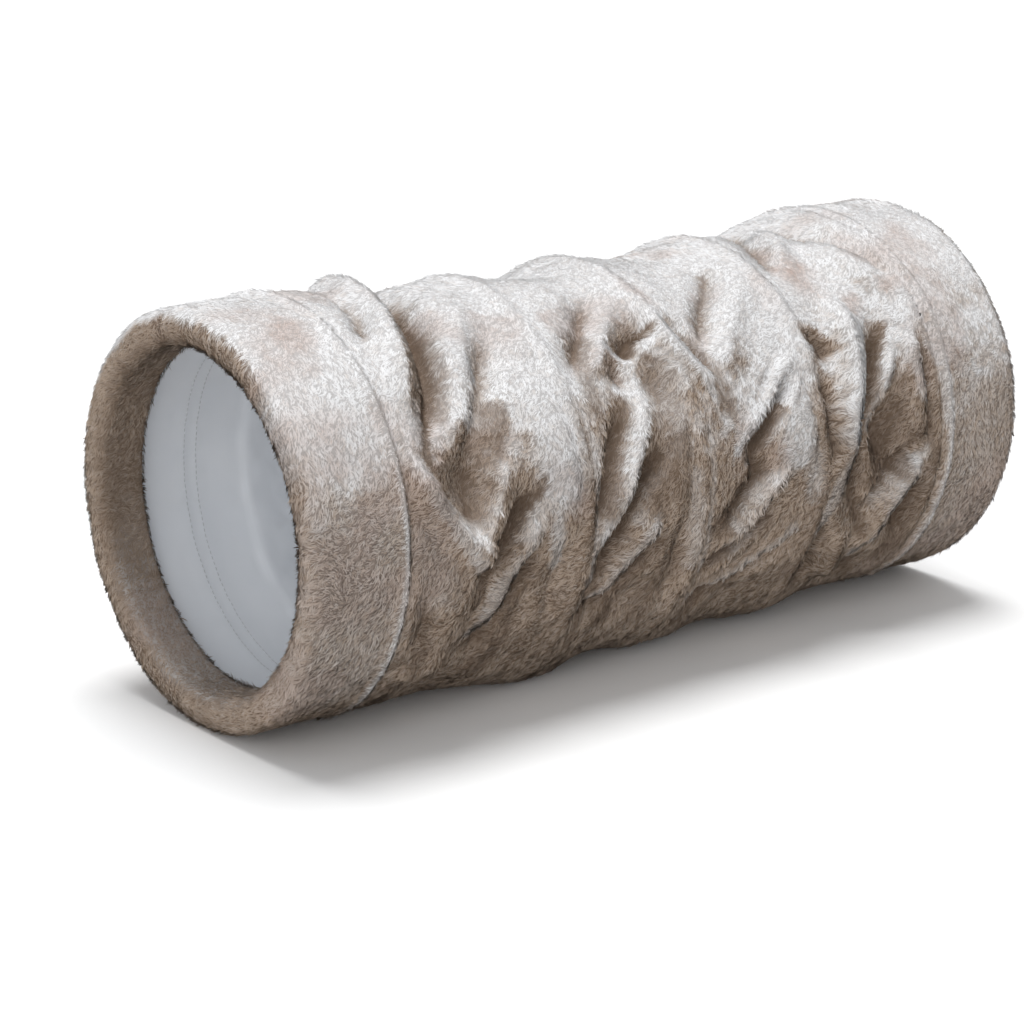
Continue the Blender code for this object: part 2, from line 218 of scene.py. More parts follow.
# Each line: height in mm (valleys below 0), width in mm on its left and on its right as it is
# followed, lean in mm of the crease to its left, and its places (share of length, angle).
FOLD_LINES = [
    # bay 1
    (-13, 15, 9, -1.5, [
        (.268, -26), (.262, -12), (.245, 5), (.228, 18), (.212, 33), (.185, 50), (.160, 62), (.143, 70),
    ]),
    (10, 8, 12, 0, [(.232, -40), (.222, -22), (.203, 3), (.185, 22), (.168, 40), (.150, 55), (.132, 66)]),
    (-4, 6, 6, 0, [(.185, 3), (.165, 18), (.138, 31)]),
    (5, 10, 9, 0, [(.305, 8), (.272, 28), (.238, 48), (.208, 60), (.178, 70)]),
    (-7, 12, 7, 0, [(.305, 27), (.275, 40), (.250, 50), (.225, 60), (.207, 72), (.197, 86)]),
    (7, 7, 5, 0, [(.122, 62), (.138, 73), (.160, 82), (.185, 88), (.212, 96), (.226, 101)]),
    (6, 6, 7, 0, [(.262, 68), (.235, 80), (.214, 92), (.205, 100)]),
    (-10, 7, 6, 1.0, [(.300, 77), (.272, 84), (.250, 92), (.228, 100), (.212, 108)]),
    (7, 4, 6, 0, [(.292, 88), (.270, 98), (.252, 107), (.238, 117), (.232, 128)]),
    (-10, 18, 4, -1.5, [(.302, 93), (.280, 103), (.258, 112), (.242, 122), (.240, 138)]),
    (-5, 9, 9, 0, [(.135, 100), (.150, 112), (.152, 124)]),
    (4, 6, 6, 0, [(.130, 128), (.165, 132), (.200, 128)]),
    (1.6, 5, 5, 0, [(.331, 56), (.336, 86)]),
    (-1.4, 5, 5, 0, [(.339, 52), (.342, 88)]),
    (-4, 6, 6, 0, [(.330, 92), (.322, 108), (.326, 124)]),
    # bay 2
    (-6, 8, 7, 0, [(.470, 18), (.450, 25), (.420, 34), (.390, 43), (.372, 52)]),
    (4, 7, 7, 0, [(.480, 28), (.452, 36), (.425, 44), (.400, 54)]),
    (-9, 4, 13, 2.0, [(.460, 47), (.472, 41), (.492, 38), (.511, 40)]),
    (6, 5, 6, 0, [(.458, 56), (.437, 68), (.418, 80), (.398, 90), (.380, 99)]),
    (-8, 5, 7, 1.0, [(.420, 60), (.400, 71), (.380, 84), (.366, 96)]),
    (-12, 8, 6, -1.5, [(.475, 73), (.443, 83), (.416, 93), (.395, 103), (.374, 114)]),
    (7, 6, 5, 0, [(.458, 95), (.430, 103), (.402, 112), (.378, 121)]),
    (-10, 15, 5, -1.5, [(.462, 101), (.432, 110), (.402, 119), (.382, 132)]),
    (3, 5, 5, 0, [(.500, 62), (.484, 80), (.480, 100)]),
    (-4, 6, 6, 0, [(.500, 95), (.492, 110), (.494, 128)]),
    # bay 3
    (5, 5, 5, 0, [(.515, 28), (.521, 42), (.534, 52), (.553, 64)]),
    (-5, 10, 6, 0, [(.532, 30), (.546, 44), (.566, 58)]),
    (-5, 8, 7, 0, [(.672, 12), (.628, 26), (.592, 37), (.566, 50)]),
    (4, 7, 7, 0, [(.676, 24), (.640, 36), (.606, 47), (.585, 60)]),
    (6, 4, 8, 0, [(.678, 54), (.642, 64), (.602, 73), (.570, 81)]),
    (-10, 9, 3.5, -1.5, [(.672, 59), (.642, 68), (.613, 76), (.585, 84)]),
    (-6, 6, 5, 0, [(.620, 86), (.582, 95), (.552, 103)]),
    (6, 5, 6, 0, [(.645, 87), (.602, 98), (.562, 107), (.540, 113)]),
    (-10, 8, 5, -1.0, [(.648, 97), (.602, 106), (.560, 114), (.534, 125)]),
    (6, 5, 5, 0, [(.662, 109), (.622, 119), (.582, 126), (.548, 131)]),
    (-9, 16, 4, -1.0, [(.666, 113), (.618, 124), (.572, 132), (.545, 141)]),
    (1.6, 5, 5, 0, [(.672, 58), (.676, 92)]),
    (-1.4, 5, 5, 0, [(.680, 56), (.683, 90)]),
    # bay 4
    (-6, 6, 3, 0, [(.707, 60), (.708, 78), (.713, 94)]),
    (-6, 5, 4, 0, [(.709, 49), (.720, 54), (.731, 61)]),
    (-5, 8, 7, 0, [(.800, -22), (.783, -8), (.762, 3), (.738, 17), (.722, 31)]),
    (4, 6, 6, 0, [(.815, -20), (.795, -5), (.778, 10), (.757, 25)]),
    (-5, 8, 9, 0, [(.790, -22), (.800, -5), (.822, 8), (.845, 20), (.864, 33), (.869, 46)]),
    (10, 6, 12, 0, [(.778, 36), (.757, 54), (.739, 70), (.722, 84), (.705, 98)]),
    (-11, 8, 4, -1.5, [(.820, 50), (.801, 62), (.781, 72), (.762, 83), (.752, 94), (.755, 105), (.772, 114)]),
    (4.5, 3.5, 3.5, 0, [(.828, 58), (.801, 69), (.777, 79), (.764, 92)]),
    (-8, 5, 4, 0, [(.852, 91), (.822, 97), (.796, 103), (.772, 111)]),
    (7, 6, 5, 0, [(.858, 96), (.827, 101), (.805, 109), (.789, 119), (.768, 127)]),
    (-6, 6, 4, 0, [(.862, 62), (.860, 78), (.869, 96)]),
    (4, 6, 6, 0, [(.846, 54), (.845, 70), (.850, 86)]),
    (-8, 9, 6, 0, [(.866, 103), (.850, 112), (.846, 128)]),
    (-7, 8, 5, 0, [(.714, 110), (.720, 124), (.726, 140)]),
    (5, 6, 6, 0, [(.742, 112), (.748, 126), (.762, 138)]),
]

# Broad forms: height in mm, place, half widths in mm along and round, and their turn in degrees.
BROAD_FORMS = [
    (-6, (.185, 76), 17, 24, 35),
    (5, (.315, 68), 22, 42, 0),
    (-5, (.190, 143), 14, 16, 0),
    (-5, (.285, 112), 14, 22, 20),
    (-6, (.442, 51), 8, 9, 0),
    (-5, (.480, 56), 12, 16, 0),
    (-5, (.440, 124), 18, 16, 0),
    (4, (.418, 14), 20, 26, 0),
    (-5, (.450, -20), 16, 30, 0),
    (-6, (.597, 84), 6, 9, 0),
    (4, (.652, 78), 16, 28, 0),
    (-5, (.610, 135), 18, 16, 0),
    (-11, (.793, 87), 13, 26, -18),
    (-8, (.785, 141), 14, 16, 0),
    (3, (.835, 28), 12, 24, 0),
    (7, (.350, 154), 46, 34, 0),
    (4, (.520, 154), 30, 30, 0),
    (4, (.690, 152), 30, 30, 0),
]


def far_fold_lines():
    """The folds of the side that faces away, as the source has them, with small folds beside each."""
    rng = np.random.default_rng(41)
    lines = []
    for bay, (start, end) in enumerate(zip(HOOPS[:-1], HOOPS[1:])):
        rear, front = (start + 0.76 * (end - start)) / LENGTH, (start + 0.24 * (end - start)) / LENGTH
        for n in range(5):
            angle = -44 - 30 * n + 7 * math.sin(2 * n + bay)
            turn = 24 * (1 + 0.35 * math.sin(3 * n + 2 * bay))
            middle, bend = (rear + front) / 2, rng.uniform(-3, 3)
            valley = [(rear + 0.030, angle + 5), (middle, angle - turn / 2 + bend), (front - 0.028, angle - turn - 5)]
            lines.append((-rng.uniform(4.5, 7.5), rng.uniform(15, 20), rng.uniform(9, 13), -0.8, valley))
            crest = [(s + rng.uniform(-0.008, 0.008), a - 15 + rng.uniform(-3, 3)) for s, a in valley]
            lines.append((rng.uniform(2.5, 4.5), 10, 12, 0, crest))
            for off in (-9, 6, 13):
                short = [
                    (s * 0.6 + middle * 0.4 + rng.uniform(-0.01, 0.01), a + off + rng.uniform(-5, 5))
                    for s, a in valley
                ]
                lines.append((-rng.uniform(1.2, 3.2), rng.uniform(3.5, 6), rng.uniform(3, 5), 0, short))
    return lines


def rounded_path(places, step=2.5):
    """The places joined by a smooth curve, in mm on the unrolled cloth."""
    points = np.array([on_cloth(*spot) for spot in places])
    ends = np.vstack([2 * points[0] - points[1], points, 2 * points[-1] - points[-2]])
    rows = []
    for k in range(1, len(ends) - 2):
        p0, p1, p2, p3 = ends[k - 1 : k + 3]
        count = max(3, int(np.linalg.norm(p2 - p1) / step))
        t = np.linspace(0, 1, count, endpoint=False)[:, None]
        bent, twisted = 2 * p0 - 5 * p1 + 4 * p2 - p3, 3 * p1 - p0 - 3 * p2 + p3
        rows.append(0.5 * (2 * p1 + (p2 - p0) * t + bent * t**2 + twisted * t**3))
    rows.append(points[-1:])
    return np.vstack(rows)


def fold_heights(along, angle):
    """Height in metres of the folds on the unrolled cloth, and how far they drag it sideways."""
    x = along / MM
    y = angle * BAY_RADIUS / MM
    warp_x = 2.2 * cloudy(5, along, angle * BAY_RADIUS, 34 * MM, 2)
    warp_y = 2.2 * cloudy(6, along, angle * BAY_RADIUS, 34 * MM, 2)
    x, y = x + warp_x, y + warp_y
    height = np.zeros_like(x)
    drag_x, drag_y = np.zeros_like(x), np.zeros_like(x)
    for tall, left, right, lean, places in FOLD_LINES + far_fold_lines():
        path = rounded_path(places)
        starts, ends = path[:-1], path[1:]
        lengths = np.linalg.norm(ends - starts, axis=1)
        so_far = np.concatenate([[0], np.cumsum(lengths)])
        whole = so_far[-1]
        middle = (path[:, 1].min() + path[:, 1].max()) / 2
        beside = wrapped(y - middle) + middle
        near = near_path(x, beside, path, 3.2 * max(left, right))
        if not near.any():
            continue
        px, py = x[near], beside[near]
        best, side, at = np.full(px.shape, 1e9), np.zeros(px.shape), np.zeros(px.shape)
        across = np.zeros(px.shape + (2,))
        for (ax, ay), (bx, by), seg, before in zip(starts, ends, lengths, so_far):
            dx, dy = (bx - ax) / seg, (by - ay) / seg
            t = np.clip((px - ax) * dx + (py - ay) * dy, 0, seg)
            ox, oy = px - ax - t * dx, py - ay - t * dy
            gap = ox * ox + oy * oy
            closer = gap < best
            best = np.where(closer, gap, best)
            side = np.where(closer, dx * oy - dy * ox, side)
            at = np.where(closer, before + t, at)
            across[closer] = (-dy, dx)
        best = np.sqrt(best)
        width = np.where(side > 0, left, right)
        taper = smooth(at / (FOLD_END * whole)) * smooth((whole - at) / (FOLD_END * whole))
        taper = FOLD_END_HEIGHT + (1 - FOLD_END_HEIGHT) * taper
        past_end = np.exp(-np.maximum(best - np.abs(side), 0) / PAST_END)
        rounding = VALLEY_ROUNDING if tall < 0 else CREST_ROUNDING
        flank = (np.sqrt(best**2 + rounding**2) - rounding) / (FLANK_REACH * width)
        form = np.maximum(0, 1 - flank) ** FLANK_POWER * taper * past_end
        height[near] += FOLD_GAIN * tall * form
        if lean:
            pull = lean * np.exp(-((best / (1.3 * width)) ** 2)) * taper
            drag_x[near] += pull * across[..., 0]
            drag_y[near] += pull * across[..., 1]
    for tall, *form in BROAD_FORMS:
        height += FOLD_GAIN * tall * np.exp(-oval(x, y, *form))
    return height * MM, drag_x * MM, drag_y * MM


def bay_slack(along, angle):
    """How far the cloth lies inside its hoops between them: most on top, none underneath."""
    return SLACK * (1 + np.cos(angle)) / 2 * between_hoops(along)


# ---------------------------------------------------------------- meshes
def mesh_object(name, points, corners, starts, material):
    """A smooth mesh from its points, its faces' corners one after another and where each face starts."""
    mesh = bpy.data.meshes.new(name)
    points = np.ascontiguousarray(points, np.float32).reshape(-1, 3)
    mesh.vertices.add(len(points))
    mesh.vertices.foreach_set("co", points.ravel())
    mesh.loops.add(corners.size)
    mesh.loops.foreach_set("vertex_index", corners.astype(np.int32).ravel())
    mesh.polygons.add(starts.size)
    mesh.polygons.foreach_set("loop_start", starts.astype(np.int32).ravel())
    mesh.update(calc_edges=True)
    mesh.shade_smooth()
    mesh.materials.append(material)
    piece = bpy.data.objects.new(name, mesh)
    bpy.context.scene.collection.objects.link(piece)
    return piece


def quad_object(name, points, faces, material):
    piece = mesh_object(name, points, faces, np.arange(len(faces)) * 4, material)
    piece.data.validate()
    return piece


def set_map(piece, uv):
    piece.data.uv_layers.new(name="OFBake").data.foreach_set("uv", np.ascontiguousarray(uv, np.float32).ravel())


def grid_object(name, points, material):
    """A grid whose columns run round the tunnel, mapped for its colours: round it in u, along the rows in v."""
    rows, columns = points.shape[:2]
    i, j = np.meshgrid(np.arange(rows - 1), np.arange(columns), indexing="ij")
    corners = [(j, i), (j + 1, i), (j + 1, i + 1), (j, i + 1)]
    faces = np.stack([b * columns + a % columns for a, b in corners], -1).reshape(-1, 4)
    piece = quad_object(name, points, faces, material)
    set_map(piece, np.stack([np.stack([a / columns, b / (rows - 1)], -1) for a, b in corners], 2))
    return piece


def add_attribute(piece, name, values):
    layer = piece.data.attributes.new(name, "FLOAT", "POINT")
    layer.data.foreach_set("value", np.ascontiguousarray(values, np.float32).ravel())


# ---------------------------------------------------------------- materials
def plain_material(name, colour, roughness, metallic=0.0, sheen=0.0, sheen_roughness=0.5, specular=0.5):
    """A Principled material; returns it with its tree and its shader."""
    made = bpy.data.materials.new(name)
    made.use_nodes = True
    shader = made.node_tree.nodes["Principled BSDF"]
    shader.inputs["Base Color"].default_value = (*colour, 1)
    shader.inputs["Roughness"].default_value = roughness
    shader.inputs["Metallic"].default_value = metallic
    shader.inputs["Specular IOR Level"].default_value = specular
    shader.inputs["Sheen Weight"].default_value = sheen
    shader.inputs["Sheen Roughness"].default_value = sheen_roughness
    shader.inputs["Sheen Tint"].default_value = (1, 1, 1, 1)
    return made, made.node_tree, shader


def mixed_colour(tree, factor, first, second):
    """A colour between two by a factor socket; first and second are colours or sockets."""
    mix = tree.nodes.new("ShaderNodeMix")
    mix.data_type = "RGBA"
    tree.links.new(factor, mix.inputs[0])
    for socket, value in ((mix.inputs[6], first), (mix.inputs[7], second)):
        if isinstance(value, bpy.types.NodeSocket):
            tree.links.new(value, socket)
        else:
            socket.default_value = (*value, 1)
    return mix.outputs[2]


def attribute_socket(tree, name):
    read = tree.nodes.new("ShaderNodeAttribute")
    read.attribute_name = name
    return read.outputs["Fac"]


def noise_socket(tree, scale, detail):
    """A noise texture in the piece's own coordinates."""
    where = tree.nodes.new("ShaderNodeTexCoord")
    cloud = tree.nodes.new("ShaderNodeTexNoise")
    cloud.inputs["Scale"].default_value = scale
    cloud.inputs["Detail"].default_value = detail
    tree.links.new(where.outputs["Object"], cloud.inputs["Vector"])
    return cloud.outputs["Fac"]


# Linear colours of the cloth: taupe, made pale by a painted sheen where it faces up, and browner
# where the nap is turned.
# Painted sheen: the pale colours, used where the cloth faces up or where a stroke lays a painted highlight.
PAINTED_SHEEN_TIP = (0.92, 0.925, 0.935)
PAINTED_SHEEN_MIDDLE = (0.76, 0.76, 0.77)
TAUPE_TIP = (0.54, 0.435, 0.35)
TAUPE_MIDDLE = (0.38, 0.29, 0.22)
BROWN_TIP = (0.60, 0.485, 0.435)
BROWN_MIDDLE = (0.46, 0.35, 0.30)
# Painted shade: the dark of the pile's roots, towards which the painted shade of creases, strokes and the mouth also
# draws.
ROOT_SHADE = (0.15, 0.105, 0.075)
PAINTED_SHEEN_ROOT = (0.42, 0.40, 0.39)
LINING_DARK = (0.80, 0.835, 0.885)
LINING_LIGHT = (0.88, 0.905, 0.94)


def ranged(tree, value, low, high):
    """A value socket's share of the way from low to high."""
    made = tree.nodes.new("ShaderNodeMapRange")
    made.inputs["From Min"].default_value = low
    made.inputs["From Max"].default_value = high
    tree.links.new(value, made.inputs["Value"])
    return made.outputs[0]


def painted_sheen_and_brown(tree, taupe, pale, brown):
    """Taupe, made pale by the painted sheen and then brown where the nap is turned, by the piece's own values."""
    under = mixed_colour(tree, attribute_socket(tree, "pile_pale"), taupe, pale)
    return mixed_colour(tree, attribute_socket(tree, "pile_brown"), under, brown)


def pile_material():
    """The blades of the pile: dark at the root, a painted shade deep in the pile, then the cloth's colour with its
    painted sheen and shade, and lightest at the tip.
    """
    made, tree, shader = plain_material("pile", TAUPE_TIP, 0.7, specular=0.0)
    along = attribute_socket(tree, "pile_along")
    root = mixed_colour(tree, attribute_socket(tree, "pile_pale"), ROOT_SHADE, PAINTED_SHEEN_ROOT)
    middle = painted_sheen_and_brown(tree, TAUPE_MIDDLE, PAINTED_SHEEN_MIDDLE, BROWN_MIDDLE)
    tip = painted_sheen_and_brown(tree, TAUPE_TIP, PAINTED_SHEEN_TIP, BROWN_TIP)
    low = mixed_colour(tree, ranged(tree, along, 0.0, 0.3), root, middle)
    whole = mixed_colour(tree, ranged(tree, along, 0.25, 0.85), low, tip)
    shaded = mixed_colour(tree, attribute_socket(tree, "pile_shade"), whole, ROOT_SHADE)
    tree.links.new(shaded, shader.inputs["Base Color"])
    return made


def ground_material():
    """The cloth under the pile, seen between the blades, with the pile's painted sheen and shade; a fine noise darkens
    it towards the root colour, a painted shade between the blades.
    """
    made, tree, shader = plain_material("plush_ground", TAUPE_MIDDLE, 0.9, specular=0.0)
    root = mixed_colour(tree, attribute_socket(tree, "pile_pale"), ROOT_SHADE, PAINTED_SHEEN_ROOT)
    cloth = painted_sheen_and_brown(tree, TAUPE_MIDDLE, PAINTED_SHEEN_MIDDLE, BROWN_MIDDLE)
    shaded = mixed_colour(tree, attribute_socket(tree, "pile_shade"), cloth, ROOT_SHADE)
    grain = ranged(tree, noise_socket(tree, 900.0, 2.0), 0.0, 1.1)
    tree.links.new(mixed_colour(tree, grain, root, shaded), shader.inputs["Base Color"])
    return made


def lining_material():
    """Smooth pale blue-grey cloth with a fine weave."""
    made, tree, shader = plain_material("lining", LINING_DARK, 0.55, sheen=0.25, sheen_roughness=0.4, specular=0.4)
    tree.links.new(
        mixed_colour(tree, noise_socket(tree, 28.0, 3.0), LINING_DARK, LINING_LIGHT), shader.inputs["Base Color"]
    )
    bump = tree.nodes.new("ShaderNodeBump")
    bump.inputs["Strength"].default_value = 0.25
    bump.inputs["Distance"].default_value = 0.15 * MM
    tree.links.new(noise_socket(tree, 2600.0, 1.0), bump.inputs["Height"])
    tree.links.new(bump.outputs["Normal"], shader.inputs["Normal"])
    return made


def mottled_material(name, first, second, roughness, scale, metallic=0.0, sheen=0.0):
    """A plain finish with a fine mottle between two near colours."""
    made, tree, shader = plain_material(name, first, roughness, metallic, sheen)
    tree.links.new(mixed_colour(tree, noise_socket(tree, scale, 3.0), first, second), shader.inputs["Base Color"])
    return made


# ---------------------------------------------------------------- where the nap is turned, and the painted sheen and shade
# Brown patches: strength, place, half widths in mm along and round, turn in degrees.
BROWN_PATCHES = [
    (0.75, (.065, 22), 16, 22, 10),
    (0.55, (.030, 30), 12, 14, 0),
    (0.45, (.045, 8), 20, 10, 20),
    (0.50, (.245, 22), 8, 26, -20),
    (0.40, (.250, 62), 14, 16, 30),
    (0.45, (.400, 44), 18, 10, -30),
    (0.40, (.440, 48), 8, 12, 0),
    (0.55, (.520, 22), 6, 20, -10),
    (0.45, (.565, 45), 9, 20, 10),
    (0.35, (.620, 28), 18, 7, -25),
    (0.85, (.755, 28), 15, 20, 10),
    (0.60, (.750, 12), 10, 16, 20),
    (0.65, (.795, 44), 9, 10, 20),
    (0.50, (.850, 26), 9, 12, 0),
    (0.60, (.868, 40), 12, 8, 0),
    (0.35, (.925, 30), 20, 16, 0),
    (0.40, (.860, 4), 30, 10, 15),
]

# Painted highlight (strength above 0) and painted shade (strength below 0) laid along the folds:
# strength, width in mm and places.
PAINTED_LIGHT_STROKES = [
    # front cuff
    (0.75, 24, [(.015, 50), (.05, 60), (.09, 54)]),
    (0.28, 34, [(.05, 85), (.05, 125)]),
    # bay 1
    (0.9, 16, [(.330, 38), (.322, 60), (.318, 78)]),
    (0.55, 5, [(.298, 78), (.312, 90), (.320, 102)]),
    (0.6, 6, [(.280, 24), (.255, 40), (.222, 56)]),
    (0.45, 3.5, [(.120, 62), (.150, 77), (.178, 88), (.206, 97)]),
    (0.40, 4, [(.292, 88), (.262, 100), (.240, 112), (.232, 126)]),
    (0.20, 14, [(.135, 88), (.160, 104)]),
    (-0.9, 3.5, [(.247, 6), (.225, 24), (.200, 38), (.175, 53), (.152, 67)]),
    (-0.5, 6, [(.237, 22), (.216, 40), (.190, 54)]),
    (-0.65, 9, [(.258, 56), (.232, 68), (.205, 82)]),
    (-0.95, 4.5, [(.293, 78), (.268, 87), (.240, 99), (.215, 111)]),
    (-0.75, 9, [(.285, 103), (.265, 118), (.255, 140)]),
    (-0.5, 8, [(.150, 112), (.155, 132)]),
    (-0.4, 5, [(.190, 128), (.185, 145)]),
    # bay 2
    (0.6, 7, [(.378, 26), (.372, 44)]),
    (0.65, 4, [(.456, 58), (.432, 71), (.402, 86), (.376, 98)]),
    (0.40, 4, [(.452, 95), (.417, 107), (.386, 118)]),
    (0.7, 3.5, [(.515, 26), (.521, 42), (.534, 52), (.553, 64)]),
    (0.35, 3, [(.366, 62), (.366, 95), (.368, 122)]),
    (0.30, 5, [(.502, 84), (.512, 112)]),
    (0.30, 3, [(.533, 62), (.527, 90), (.531, 116)]),
    (-0.5, 6, [(.420, 36), (.398, 46), (.384, 60)]),
    (-0.85, 6.5, [(.424, 60), (.402, 75), (.386, 89)]),
    (-0.95, 5, [(.462, 75), (.425, 90), (.395, 103), (.374, 115)]),
    (-0.9, 4.5, [(.468, 44), (.484, 39), (.503, 38)]),
    (-0.75, 8, [(.478, 74), (.456, 90)]),
    (-0.55, 10, [(.487, 50), (.482, 70), (.474, 86)]),
    (-0.85, 8, [(.455, 103), (.430, 113), (.415, 128)]),
    (-0.5, 9, [(.488, 108), (.468, 132)]),
    (-0.5, 4, [(.374, 118), (.382, 142)]),
    # bay 3
    (0.9, 20, [(.650, 34), (.662, 60)]),
    (0.8, 12, [(.660, 66), (.654, 84)]),
    (0.4, 7, [(.680, 88), (.684, 98)]),
    (0.9, 3.2, [(.682, 55), (.640, 66), (.602, 73), (.570, 80)]),
    (0.40, 4, [(.662, 109), (.622, 119), (.582, 126), (.548, 131)]),
    (0.30, 4, [(.645, 88), (.604, 98), (.562, 107)]),
    (-0.5, 6, [(.548, 44), (.562, 54), (.570, 68)]),
    (-0.35, 2.5, [(.648, 18), (.600, 32), (.560, 46)]),
    (-0.9, 4, [(.640, 70), (.615, 78), (.590, 86)]),
    (-0.9, 8, [(.604, 87), (.574, 94), (.548, 101)]),
    (-0.85, 5.5, [(.622, 104), (.585, 110), (.550, 118)]),
    (-0.9, 7, [(.605, 127), (.568, 134), (.550, 142)]),
    (-0.35, 6, [(.692, 100), (.688, 132)]),
    # bay 4
    (1.0, 11, [(.790, 42), (.772, 56), (.756, 70), (.742, 82)]),
    (0.35, 6, [(.740, 84), (.722, 98), (.708, 110)]),
    (0.55, 3, [(.826, 60), (.800, 71), (.775, 83)]),
    (0.45, 4, [(.842, 97), (.817, 105), (.801, 114), (.785, 127)]),
    (0.5, 6, [(.845, 54), (.850, 76)]),
    (0.6, 5, [(.886, 58), (.890, 86)]),
    (-0.85, 4, [(.707, 50), (.719, 58)]),
    (-0.85, 3, [(.708, 66), (.711, 88)]),
    (-1.0, 4.5, [(.818, 54), (.795, 66), (.770, 78), (.755, 92), (.757, 106), (.775, 116)]),
    (-1.0, 12, [(.806, 80), (.790, 97)]),
    (-0.7, 6, [(.838, 88), (.822, 99)]),
    (-0.6, 6, [(.822, 70), (.816, 86)]),
    (-0.75, 3.5, [(.862, 60), (.862, 80), (.870, 96)]),
    (-0.85, 10, [(.850, 107), (.848, 130)]),
    (-0.6, 6, [(.715, 114), (.725, 140)]),
    (-0.7, 6, [(.800, 134), (.822, 145)]),
    # rear cuff
    (0.25, 30, [(.945, 85), (.945, 125)]),
]


def painted_light_strokes(along, angle):
    """How much painted highlight and painted shade the strokes lay on each place, both from 0 to 1."""
    y = angle * BAY_RADIUS
    x = (along + 1.6 * MM * cloudy(77, along, y, 15 * MM, 3)) / MM
    y = (y + 1.6 * MM * cloudy(78, along, y, 15 * MM, 3)) / MM
    y = wrapped(y)
    pale, dark = np.zeros_like(x), np.zeros_like(x)
    for strength, width, places in PAINTED_LIGHT_STROKES:
        path = rounded_path(places, 5)
        near = near_path(x, y, path, 2.2 * width)
        px, py = x[near], y[near]
        gap = np.full(px.shape, 1e9)
        for (ax, ay), (bx, by) in zip(path[:-1], path[1:]):
            dx, dy = bx - ax, by - ay
            t = np.clip(((px - ax) * dx + (py - ay) * dy) / (dx * dx + dy * dy), 0, 1)
            gap = np.minimum(gap, np.hypot(px - ax - t * dx, py - ay - t * dy))
        share = abs(strength) * smooth(1.5 - gap / width)
        target = pale if strength > 0 else dark
        target[near] = np.maximum(target[near], share)
    return pale, dark


def brown_share(along, angle):
    """How much the nap is turned and browner, from 0 to 1."""
    y = angle * BAY_RADIUS
    warp = 5 * MM
    x = along + warp * cloudy(71, along, y, 22 * MM, 3)
    y = y + warp * cloudy(72, along, y, 22 * MM, 3)
    total = np.zeros_like(x)
    for strength, *patch in BROWN_PATCHES:
        total = np.maximum(total, strength * smooth(1.45 - np.sqrt(oval(x / MM, y / MM, *patch))))
    loose = smooth((cloudy(73, along, y, 60 * MM, 3) - 0.18) / 0.45) * 0.5
    mottle = 0.75 + 0.35 * cloudy(74, along, y, 7 * MM, 3)
    return np.clip(np.maximum(total, loose) * mottle, 0, 1)


def hollowness(points, along):
    """How deep in a crease each place of the cloth lies, from 0 to 1; it sets the painted crease shade."""
    radius = level = radius_of(points, along)
    for _ in range(CREASE_ROUNDS):
        middle = np.pad(level, ((1, 1), (0, 0)), mode="edge")
        level = (middle[:-2] + middle[2:] + np.roll(level, 1, 1) + np.roll(level, -1, 1)) / 4
    return smooth((level - radius - 0.6 * MM) / CREASE_DEPTH)


def painted_sheen_share(along, angle, facing_up):
    """How strong the painted sheen is, from 0 to 1: paler the more the cloth faces up, and less underneath."""
    y = angle * BAY_RADIUS
    edge = 0.20 * cloudy(75, along, y, 26 * MM, 3) + 0.10 * cloudy(76, along, y, 5 * MM, 2)
    underneath = smooth((np.abs((angle + math.pi) % (2 * math.pi) - math.pi) - 1.2) / 0.7)
    return smooth((facing_up - 0.12 + edge) / 0.62) * (1 - 0.35 * underneath)


def seam_line_share(along, angle):
    """1 on the raised line beside each cuff's seam, where the pile is flattened, and 0 away from it; the line is
    painted pale as a highlight and gets less painted shade.
    """
    off = np.minimum(np.abs(along - SEAM_LINE), np.abs(LENGTH - along - SEAM_LINE))
    return np.exp(-((off / SEAM_LINE_WIDTH) ** 2)) * smooth((np.abs(np.sin(angle)) - 0.35) / 0.4)


def tone_with_painted_light(along, angle, normals, hollow):
    """Grids of the painted sheen, the brown of the turned nap, and the painted shade of creases and strokes on the
    cloth.
    """
    stroke_highlight, stroke_shade = painted_light_strokes(along, angle)
    pale = painted_sheen_share(along, angle, normals[..., 2]) * (1 - 0.85 * hollow)
    pale = (pale + (1 - pale) * stroke_highlight) * (1 - 0.9 * stroke_shade)
    # The seam line is painted pale as a highlight; the rear rim is made paler.
    line = seam_line_share(along, angle)
    rear_rim = 0.5 * np.exp(-(((LENGTH - along) / (5 * MM)) ** 2))
    pale = np.maximum(pale, np.maximum(0.9 * line, rear_rim))
    brown = brown_share(along, angle) * (1 - 0.6 * stroke_shade)
    return pale, brown, np.clip(0.42 * hollow + 0.60 * stroke_shade, 0, 0.8) * (1 - line)


# ---------------------------------------------------------------- the plush, as grids of the ground cloth
def angle_row(count=AROUND_STEPS):
    """The angles of a grid's columns."""
    return np.arange(count) / count * 2 * math.pi


def crinkle(seed, along, angle, height, cell):
    """Heights of small irregular wrinkles."""
    return height * cloudy(seed, along, angle * BAY_RADIUS, cell, 3)


def seam_depth(angle):
    """How far the seams draw the plush in: most on the sides, where it sags."""
    return (1.0 + 1.2 * smooth((np.abs(np.sin(angle)) - 0.6) / 0.35)) * MM


